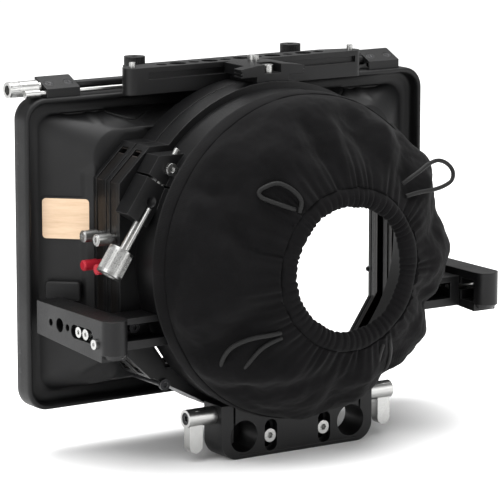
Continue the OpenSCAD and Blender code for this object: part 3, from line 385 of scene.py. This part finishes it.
# ---------------------------------------------------------------- mesh helpers
def grid_object(name, rows, closed_rows, uv=None):
    """A skin through rows of points, each row closed on itself.

    closed_rows joins the last row to the first."""
    n_rows, n = len(rows), len(rows[0])
    verts = [tuple(p) for row in rows for p in row]
    faces = []
    for i in range(n_rows if closed_rows else n_rows - 1):
        j = (i + 1) % n_rows
        for k in range(n):
            m = (k + 1) % n
            faces.append((i * n + k, i * n + m, j * n + m, j * n + k))
    mesh = bpy.data.meshes.new(name)
    mesh.from_pydata(verts, [], faces)
    if uv is not None:
        layer = mesh.uv_layers.new(name="UVMap")
        flat = []
        for i in range(n_rows if closed_rows else n_rows - 1):
            j = i + 1
            for k in range(n):
                flat += [*uv(i, k), *uv(i, k + 1), *uv(j, k + 1), *uv(j, k)]
        layer.data.foreach_set("uv", flat)
    mesh.polygons.foreach_set("use_smooth", [True] * len(mesh.polygons))
    mesh.update()
    obj = bpy.data.objects.new(name, mesh)
    bpy.context.scene.collection.objects.link(obj)
    return obj


def blend(start, end, share):
    return start + (end - start) * share


def smoothstep(value, low, high):
    t = np.clip((value - low) / (high - low), 0, 1)
    return t * t * (3 - 2 * t)


# ---------------------------------------------------------------- hood
HOOD_SIDE = (150, 100)   # samples along the long and short sides
HOOD_CORNER = 14   # samples round each corner
RIM_HALF = (111.5, 72.7)
STAGE_HALF = (84, 54)
STAGE_CORNER_CUT = (16.3, 15.6)
STAGE_CUT_LENGTH = 22.56
STAGE_CROWN_R = 78.9
WINDOW_HALF = (74, 52.5)
WINDOW_CUT = (12, 17.5)
WINDOW_EDGE_Y = (43.6, 45.2)
FLANGE_Y = 43.35
FLANGE_CORNER = 14
FLANGE_STEPS = 6
FUNNEL_STEPS = 44
FUNNEL_BACK_RISE = 0.9   # centre of the funnel's small end above the lens axis
INSIDE_Y = (45.8, 65.2)
INSIDE_HALF = (80.55, 57.4)
INSIDE_SLOPE = (0.997, 0.438)
INSIDE_STEPS = 8
# depth and inset from the rim's outline, over the lip and into the valley
RIM_OUTSIDE = ((67.9, 0.9), (67.7, 0.3), (67.2, 0), (64, 0), (61, 0), (58.4, 0), (57.2, 0.1), (56.6, 0.45),
               (56.4, 1.0), (56.4, 1.6), (56.8, 2.1), (57.6, 2.45), (59.5, 2.6), (61.8, 2.8), (62.5, 3.4),
               (62.6, 5), (62.6, 6.6))
# the same from the inside floor to the mouth
RIM_INSIDE = ((65.6, 5.0), (65.7, 3.6), (65.9, 2.9), (66.4, 2.6), (67.0, 2.6), (67.5, 2.3), (67.8, 1.8))


def rounded_loop(half_w, half_h, r, centre_z, chamfer=None):
    """Points of a rounded rectangle in X and Z, always in the same order.

    chamfer gives straight corners instead."""
    long_n, short_n = HOOD_SIDE
    cw, ch = chamfer if chamfer else (r, r)
    pts = []
    corners = ((1, 1), (-1, 1), (-1, -1), (1, -1))
    for q, (sx, sz) in enumerate(corners):
        start = math.pi / 2 * q
        for k in range(HOOD_CORNER):
            a = k / (HOOD_CORNER - 1)
            if chamfer:
                p_in = (sx * half_w, sz * (half_h - ch))
                p_out = (sx * (half_w - cw), sz * half_h)
                if q % 2:
                    p_in, p_out = p_out, p_in
                pts.append((p_in[0] + (p_out[0] - p_in[0]) * a,
                            p_in[1] + (p_out[1] - p_in[1]) * a))
            else:
                angle = start + a * math.pi / 2
                pts.append((sx * (half_w - r) + r * math.cos(angle),
                            sz * (half_h - r) + r * math.sin(angle)))
        nxt = corners[(q + 1) % 4]
        end_a = pts[-1]
        if q % 2 == 0:
            end_b = (nxt[0] * (half_w - cw), nxt[1] * half_h)
            count = long_n
        else:
            end_b = (nxt[0] * half_w, nxt[1] * (half_h - ch))
            count = short_n
        for k in range(1, count):
            a = k / count
            pts.append((end_a[0] + (end_b[0] - end_a[0]) * a, end_a[1] + (end_b[1] - end_a[1]) * a))
    out = np.array(pts, float)
    out[:, 1] += centre_z
    return out


def stage_distance(x, z):
    """How far a point is outside the stages' outline, about: the octagon joined to the round crown."""
    ax, az = np.abs(x), np.abs(z - LENS_Z)
    half_w, half_h = STAGE_HALF
    cut_x, cut_z = STAGE_CORNER_CUT
    nx, nz = cut_z / STAGE_CUT_LENGTH, cut_x / STAGE_CUT_LENGTH
    octagon = np.maximum(np.maximum(ax - half_w, az - half_h),
                         (ax - half_w) * nx + (az - (half_h - cut_z)) * nz)
    disc = np.hypot(x, z - LENS_Z) - STAGE_CROWN_R
    return np.minimum(octagon, disc)


def near_line(x, z, line):
    """Distance from each point to a bent line."""
    best = np.full_like(x, 1e9)
    for (x0, z0), (x1, z1) in zip(line, line[1:]):
        dx, dz = x1 - x0, z1 - z0
        t = np.clip(((x - x0) * dx + (z - z0) * dz) / (dx * dx + dz * dz), 0, 1)
        best = np.minimum(best, np.hypot(x - x0 - t * dx, z - z0 - t * dz))
    return best


SCOOP_RIM = [(-70.6, 152), (-66.7, 146), (-58.6, 142), (-52, 141.5), (-45, 144.5), (-38.2, 146),
             (-28, 146.5), (-20, 146.5)]
SCOOP_DEPTH = 3.4
SCOOP_LIP = (0.8, 1.5)   # height and width
BOSS_AT = (-76, 145.5)
BOSS = (1.6, 2.2)   # height and radius
COLLAR_HEIGHT = 1.6
LOW_RIDGES = [[(-72, 44), (-80, 36), (-88, 29)], [(-66, 32), (-76, 24), (-82, 20)]]
LOW_RIDGE = (1.6, 1.4)   # height and width


def hood_relief(x, z):
    """How far the back of the hood stands forward (+) of the plain funnel at each point."""
    mirrored = -np.abs(x)
    out = np.zeros_like(x)
    # collar that follows the stages
    d = stage_distance(x, z)
    out -= COLLAR_HEIGHT * (1 - smoothstep(d, 2.2, 4.2))
    # scooped pockets below the bar's ends
    low_edge = np.interp(mirrored, [p[0] for p in SCOOP_RIM], [p[1] for p in SCOOP_RIM])
    across = smoothstep(mirrored, -71.5, -66) * (1 - smoothstep(mirrored, -30, -22))
    out += SCOOP_DEPTH * smoothstep(z - low_edge, -1.0, 4.0) * across
    out -= SCOOP_LIP[0] * np.exp(-(near_line(mirrored, z, SCOOP_RIM) / SCOOP_LIP[1]) ** 2)
    # boss where the scoop meets the valley
    out -= BOSS[0] * np.exp(-(np.hypot(mirrored - BOSS_AT[0], z - BOSS_AT[1]) / BOSS[1]) ** 4)
    # ridges low down
    for ridge in LOW_RIDGES:
        out -= LOW_RIDGE[0] * np.exp(-(near_line(mirrored, z, ridge) / LOW_RIDGE[1]) ** 2)
    return out


def make_hood():
    rows = []

    def loop(y, half_w, half_h, r, cz=HOOD_Z, chamfer=None, relief=0.0):
        p = rounded_loop(half_w, half_h, r, cz, chamfer)
        ys = np.full(len(p), float(y))
        if relief:
            ys += relief * hood_relief(p[:, 0], p[:, 1])
        rows.append([Vector((px, py, pz)) * MM for (px, pz), py in zip(p, ys)])

    w, h = RIM_HALF
    # outside, from the mouth back over the rim's rounded lip and down into the valley behind it
    for y, inset in RIM_OUTSIDE:
        loop(y, w - inset, h - inset, max(10 - inset * 0.5, 5))
    # the back of the funnel, sloping in to the stages
    for k in range(FUNNEL_STEPS + 1):
        a = k / FUNNEL_STEPS
        loop(blend(VALLEY_Y, FUNNEL_BACK_Y, a), blend(FUNNEL_FRONT[0], FUNNEL_BACK[0], a),
             blend(FUNNEL_FRONT[1], FUNNEL_BACK[1], a), 8 + 6 * a,
             blend(HOOD_Z, LENS_Z + FUNNEL_BACK_RISE, a), relief=min(1.0, k / 3))
    # flange against the front stage, then the window's edge
    for k in range(1, FLANGE_STEPS + 1):
        a = k / FLANGE_STEPS
        cut = [blend(FLANGE_CORNER, c, a) for c in WINDOW_CUT]
        loop(FLANGE_Y, blend(FUNNEL_BACK[0], WINDOW_HALF[0], a), blend(FUNNEL_BACK[1], WINDOW_HALF[1], a),
             FLANGE_CORNER, LENS_Z + FUNNEL_BACK_RISE * (1 - a), cut)
    for y in WINDOW_EDGE_Y:
        loop(y, *WINDOW_HALF, 1, LENS_Z, WINDOW_CUT)
    # inside, from the window out to the mouth
    for k in range(INSIDE_STEPS + 1):
        y = blend(*INSIDE_Y, k / INSIDE_STEPS)
        ahead = y - INSIDE_Y[0]
        loop(y, INSIDE_HALF[0] + INSIDE_SLOPE[0] * ahead, INSIDE_HALF[1] + INSIDE_SLOPE[1] * ahead,
             12 - 4 * k / INSIDE_STEPS)
    for y, inset in RIM_INSIDE:
        loop(y, w - inset, h - inset, 7.6)
    obj = grid_object("hood_moulding", rows, True)
    dress(obj, MATERIALS["hood_plastic"])
    return obj


hood = make_hood()
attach(hood, "matte_box")
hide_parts("hood_shell")


SHARP_EDGE = 1.2   # radians between faces


def block(name, size, place, turn, radius, material, corner=0.0):
    """A box with rounded edges, centred on place and turned about Z. corner rounds its outline."""
    mesh = bpy.data.meshes.new(name)
    bm = bmesh.new()
    bmesh.ops.create_cube(bm, size=1.0)
    bmesh.ops.scale(bm, vec=Vector(size) * MM, verts=bm.verts)
    if corner:
        upright = [e for e in bm.edges if abs((e.verts[0].co - e.verts[1].co).normalized().y) > 0.9]
        bmesh.ops.bevel(bm, geom=upright, offset=corner * MM, segments=6, profile=0.5, affect="EDGES")
    sharp = [e for e in bm.edges if len(e.link_faces) == 2 and e.calc_face_angle() > SHARP_EDGE]
    bmesh.ops.bevel(bm, geom=sharp, offset=radius * MM, segments=3, profile=0.5, affect="EDGES")
    bm.to_mesh(mesh)
    bm.free()
    mesh.transform(Matrix.Translation(Vector(place) * MM) @ Matrix.Rotation(turn, 4, "Z"))
    obj = bpy.data.objects.new(name, mesh)
    bpy.context.scene.collection.objects.link(obj)
    dress(obj, MATERIALS[material])
    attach(obj, "matte_box")
    return obj


def on_funnel(side, x, z, lift):
    """A point just off the sloping side of the funnel, and the turn that lies a plate on it."""
    y = FUNNEL_BACK_Y + (x - FUNNEL_BACK[0]) * FUNNEL_SLOPE
    place = (side * (x + lift * math.sin(FUNNEL_TURN)), y - lift * math.cos(FUNNEL_TURN), z)
    return place, side * FUNNEL_TURN


SIDES = ((-1, "left"), (1, "right"))
CATCH_AT = (93.5, 67.2)
CATCH_SIZE = (17, 5.4, 9)
LABEL_AT = (92.6, 100.6)
LABEL_SIZE = (22.2, 1.3, 18.8)
SCORCHED_SIZE = (23.2, 1.0, 19.8)
SIDE_HOLES = (-54, -44.9, 43.6, 53)
SIDE_HOLE_SIZE = (0.3, 2.2, 2.2)

for side, word in SIDES:
    place, turn = on_funnel(side, *CATCH_AT, 1.6)
    block("hood_catch_" + word, CATCH_SIZE, place, turn, 0.9, "hood_plastic", 2.0)
place, turn = on_funnel(-1, *LABEL_AT, 0.75)
label = block("veneer_label", LABEL_SIZE, place, turn, 0.15, "label_wood", 1.8)
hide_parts("label_plate")
place, turn = on_funnel(-1, *LABEL_AT, 0.5)
block("veneer_label_scorched_edge", SCORCHED_SIZE, place, turn, 0.15, "black_metal", 2.2)
for side, word in SIDES:
    for i, z in enumerate(SIDE_HOLES):
        place = (side * 111.4, 64.4, HOOD_Z + z)
        name = "hood_side_hole_%s_%d" % (word, i + 1)
        block(name, SIDE_HOLE_SIZE, place, 0, 0.1, "black_metal")


# ---------------------------------------------------------------- donut
# radius and depth of the donut's section, from the hoop to the opening, then round the draw channel
PROFILE = [(75.7, 5.3), (75.8, 2), (75.6, -2.5), (74.9, -6.5), (73.4, -11), (70.6, -16.5), (66.4, -21.8),
           (61.0, -26.4), (54.5, -30.6), (47.5, -34.4), (41.5, -37.2), (38.0, -38.6)]
CHANNEL = [(37.9, -37.9), (37.3, -38.9), (35.6, -40.0), (33.2, -40.5), (30.8, -40.0), (29.3, -38.7),
           (28.8, -37.1), (29.8, -35.7), (32.4, -35.0), (36.3, -35.4)]
CHANNEL_CENTRE = (33.2, -37.9)
CHANNEL_ROWS = 26
PLEATS = 62
FOLD_SPREAD = 1.25
FOLD_SHARE = 0.8
SIDE_BULGE = 0.8
OPENING_SHIFT = (2.4, -0.8)
SHIFTED_WITHIN = 60   # radius inside which the opening's shift begins
SHIFT_BAND = 25
CLOTH_THICKNESS = 0.5
MAP_RADIUS = 0.06   # metres, for the weave's map
SEAM_ALLOWANCE = 1.2
FOLDS = [
    # points in X and Z about the lens axis, width, height away from the surface
    ([(-58, 36), (-56, 22), (-48, 10), (-36, 9)], 3.4, -3.6),
    ([(-63, 30), (-61, 16), (-52, 3), (-40, 2)], 5.5, 2.4),
    ([(-38, -9), (-47, -19), (-54, -28), (-60, -34)], 4.6, -4.6),
    ([(-36, -4), (-52, -8), (-66, -17)], 5.0, 2.6),
    ([(-58, -44), (-46, -48), (-30, -45), (-14, -39)], 5.0, 4.2),
    ([(-48, -55), (-28, -55), (-10, -49)], 4.5, -2.6),
    ([(-11, 62), (-9, 52), (-4, 44), (-3, 38)], 4.0, -4.4),
    ([(2, 62), (1, 52), (2, 42)], 3.4, 3.6),
    ([(-22, 66), (-26, 54), (-24, 42)], 6.0, 2.4),
    ([(16, 64), (16, 52), (14, 42)], 5.0, -2.8),
    ([(30, 58), (28, 48), (20, 38)], 4.2, 3.4),
    ([(44, 52), (38, 40), (30, 30)], 4.6, -3.4),
    ([(58, 38), (50, 28), (40, 20)], 5.0, 3.2),
    ([(68, 20), (56, 10), (44, 6)], 5.0, -2.8),
    ([(70, 0), (56, -4), (42, -6)], 5.4, 3.0),
    ([(66, -28), (54, -24), (42, -14)], 4.0, -5.0),
    ([(58, -40), (48, -34), (36, -22)], 4.4, 2.6),
    ([(40, -56), (34, -46), (26, -32)], 4.4, -3.8),
    ([(18, -66), (16, -54), (12, -40)], 5.0, 3.0),
    ([(2, -66), (2, -54), (0, -42)], 4.2, -2.6),
]
ROUND = 480
BODY_ROWS = 64
RESAMPLE_STEPS = 24


def resample(points, count):
    """Evenly spaced points on a smooth line through the given ones, and their lengths along it."""
    pts = np.array(points, float)
    curve = [Vector((p[0], 0, p[1])) for p in pts]
    fine = smooth_line(curve, RESAMPLE_STEPS)
    xy = np.array([(p.x, p.z) for p in fine])
    s = np.concatenate([[0], np.cumsum(np.hypot(*np.diff(xy, axis=0).T))])
    want = np.linspace(0, s[-1], count)
    return np.stack([np.interp(want, s, xy[:, 0]), np.interp(want, s, xy[:, 1])], 1), want


def ripple(angle, waves, seed):
    """A wavy 1-D noise round the donut that closes on itself."""
    return noise.noise(Vector((math.cos(angle) * waves / 6.283, math.sin(angle) * waves / 6.283, seed)))


def pleat_phases(angles):
    """The phase of the pleats at each angle; it runs unevenly round the opening."""
    phase = []
    total = 0.0
    for a in angles:
        total += 1 + 0.75 * ripple(a, 40, 3.1)
        phase.append(total)
    return [p / total * 2 * math.pi * PLEATS for p in phase]


def outward(body, i, t):
    """The section's normal at a row, pointing away from the inside."""
    d = body[min(i + 1, len(body) - 1)] - body[max(i - 1, 0)]
    normal = np.array([-d[1], d[0]])
    normal /= np.linalg.norm(normal)
    if normal[1] > 0 and t > 0.5:
        normal = -normal
    if normal[0] < 0 and t < 0.3:
        normal = -normal
    return normal


def soft_noise(x, y, z):
    """Broad and middling unevenness of slack cloth."""
    soft = noise.noise(Vector((x * 0.045, y * 0.045, z * 0.045 + 5))) * 3.4
    soft += noise.noise(Vector((x * 0.12, y * 0.12, z * 0.12 + 11))) * 1.1
    return soft


def body_rows(body, s_body, angles, phase, depth):
    """Radius, depth and angle of each point between the hoop and the channel, with folds and gathers."""
    rows = []
    for i, (r, y) in enumerate(body):
        t = s_body[i] / s_body[-1]
        normal = outward(body, i, t)
        free = float(smoothstep(np.array(t), 0.12, 0.3))
        gather = float(smoothstep(np.array(t), 0.62, 1.0))
        row = []
        ring_x, ring_z = r * np.cos(angles), r * np.sin(angles)
        lifts = np.zeros(ROUND)
        for line, width, height in FOLDS:
            near = near_line(ring_x, ring_z, line)
            lifts += FOLD_SHARE * height * np.exp(-(near / (FOLD_SPREAD * width)) ** 2)
        bulge = SIDE_BULGE * math.sin(math.pi * min(1.0, t / 0.8)) ** 2
        for k, a in enumerate(angles):
            x, z = ring_x[k], ring_z[k]
            lift = lifts[k] + bulge * max(0.0, math.cos(a)) ** 2
            soft = soft_noise(x, y, z)
            fine = noise.noise(Vector((x * 0.4, y * 0.4, z * 0.4 + 2))) * 0.25
            tuck = math.sin(phase[k]) * 0.75 * depth[k] + math.sin(phase[k] * 0.37 + 1) * 0.9 * depth[k]
            off = free * (lift + soft + fine) * (1 - 0.75 * gather) + gather * tuck + 0.12 * fine
            row.append(Vector((r + normal[0] * off, y + normal[1] * off, a)))
        rows.append(row)
    return rows


def channel_rows(channel, angles, phase, depth):
    """The same for the gathered tube round the opening."""
    rows = []
    centre_r, centre_y = CHANNEL_CENTRE
    for i, (r, y) in enumerate(channel):
        t = i / (len(channel) - 1)
        row = []
        for k, a in enumerate(angles):
            swell = 1 + 0.16 * ripple(a, 26, 4.4)
            tuck = (math.sin(phase[k]) * 0.55 + math.sin(phase[k] * 2 + 0.6) * 0.18) * depth[k]
            puff = math.sin(math.pi * min(1, t * 1.25))
            dr, dy = r - centre_r, y - centre_y
            size = max(math.hypot(dr, dy), 0.1)
            off = tuck * puff
            row.append(Vector((centre_r + dr * swell + dr / size * off,
                               centre_y + dy * swell + dy / size * off, a)))
        rows.append(row)
    return rows


def placed(p):
    """A point of the donut in metres, with the opening's sag and shift."""
    shift_x, shift_z = OPENING_SHIFT
    near = max(0.0, min(1.0, (SHIFTED_WITHIN - p.x) / SHIFT_BAND))
    radius = p.x + 1.1 * ripple(p.z, 9, 1.3) * near
    return Vector((radius * math.cos(p.z) + shift_x * near, p.y,
                   radius * math.sin(p.z) + shift_z * near + LENS_Z)) * MM


def make_donut():
    body, s_body = resample(PROFILE, BODY_ROWS)
    channel, s_channel = resample(CHANNEL, CHANNEL_ROWS)
    angles = [2 * math.pi * k / ROUND for k in range(ROUND)]
    phase = pleat_phases(angles)
    depth = [0.55 + 0.45 * ripple(a, 60, 9.7) for a in angles]
    rows = body_rows(body, s_body, angles, phase, depth) + channel_rows(channel, angles, phase, depth)
    points = [[placed(p) for p in row] for row in rows]
    lengths = list(s_body) + [s_body[-1] + SEAM_ALLOWANCE + s for s in s_channel]
    return grid_object("donut_cloth", points, False,
                       lambda i, k: (2 * math.pi * MAP_RADIUS * k / ROUND, lengths[i] * MM))


donut = make_donut()
solid = donut.modifiers.new("thickness", "SOLIDIFY")
solid.thickness = CLOTH_THICKNESS * MM
solid.offset = -1
dress(donut, MATERIALS["donut_cloth"])
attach(donut, "matte_box")
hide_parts("donut_fabric")


# ---------------------------------------------------------------- hem of the donut
HEM_SECTION = [(75.9, 5.5), (76.3, 5.0), (76.5, 3), (76.4, -1), (76.0, -3.6), (75.6, -4.3), (75.1, -4.2),
               (75.3, 0), (75.4, 4)]
HEM_MAP_RADIUS = 0.0756   # metres


def make_hem():
    """The folded hem that stands slightly proud of the cloth."""
    rows = []
    for r, y in HEM_SECTION:
        row = []
        for k in range(ROUND):
            a = 2 * math.pi * k / ROUND
            wave = 0.22 * ripple(a, 90, 6.6) + 0.3 * ripple(a, 18, 2.2)
            radius = r + (wave if y < 4 else 0)
            sway = 0.35 * ripple(a, 30, 8.1) * (1 if y < 3 else 0)
            row.append(Vector((radius * math.cos(a), y + sway, radius * math.sin(a) + LENS_Z)) * MM)
        rows.append(row)
    obj = grid_object("donut_hem", rows, True)
    mesh = obj.data
    layer = mesh.uv_layers.new(name="UVMap")
    uv = []
    for loop in mesh.loops:
        p = mesh.vertices[loop.vertex_index].co
        uv += [math.atan2(p.z - LENS_Z * MM, p.x) * HEM_MAP_RADIUS, p.y]
    layer.data.foreach_set("uv", uv)
    dress(obj, MATERIALS["donut_cloth"])
    return obj


hem = make_hem()
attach(hem, "matte_box")


# ---------------------------------------------------------------- room and light
FLOOR_HALF = 6   # metres
WORLD_STRENGTH = 0.4
LIGHT_TARGET = (0, 0, 0.085)
# name, place, size in metres, and watts
LIGHTS = (("top", (-0.1, 0.1, 1.9), (2.6, 2.2), 95),
          ("left", (-1.5, -0.5, 0.7), (0.9, 1.1), 12),
          ("right", (0.9, -1.4, 0.6), (0.8, 1.0), 7))


def make_floor():
    low = float(cad_box[0][2])
    far = FLOOR_HALF
    mesh = bpy.data.meshes.new("floor")
    corners = [(x, y, low) for x, y in ((-far, -far), (far, -far), (far, far), (-far, far))]
    mesh.from_pydata(corners, [], [(0, 1, 2, 3)])
    obj = bpy.data.objects.new("floor", mesh)
    bpy.context.scene.collection.objects.link(obj)
    t = Tree("white_floor")
    t.shader.inputs["Base Color"].default_value = (0.95, 0.95, 0.95, 1)
    t.shader.inputs["Roughness"].default_value = 0.95
    t.shader.inputs["Specular IOR Level"].default_value = 0.05
    obj.data.materials.append(t.mat)


def area_light(name, place, target, size, power):
    data = bpy.data.lights.new(name, "AREA")
    data.shape = "RECTANGLE"
    data.size, data.size_y = size
    data.energy = power
    obj = bpy.data.objects.new(name, data)
    bpy.context.scene.collection.objects.link(obj)
    obj.location = place
    obj.rotation_euler = (Vector(target) - Vector(place)).to_track_quat("-Z", "Y").to_euler()


make_floor()
world = bpy.data.worlds.new("studio")
world.use_nodes = True
background = world.node_tree.nodes["Background"]
background.inputs["Color"].default_value = (1, 1, 1, 1)
background.inputs["Strength"].default_value = WORLD_STRENGTH
bpy.context.scene.world = world
for name, place, size, power in LIGHTS:
    area_light(name, place, LIGHT_TARGET, size, power)
bpy.context.scene.view_settings.view_transform = "Standard"

bpy.context.view_layer.update()
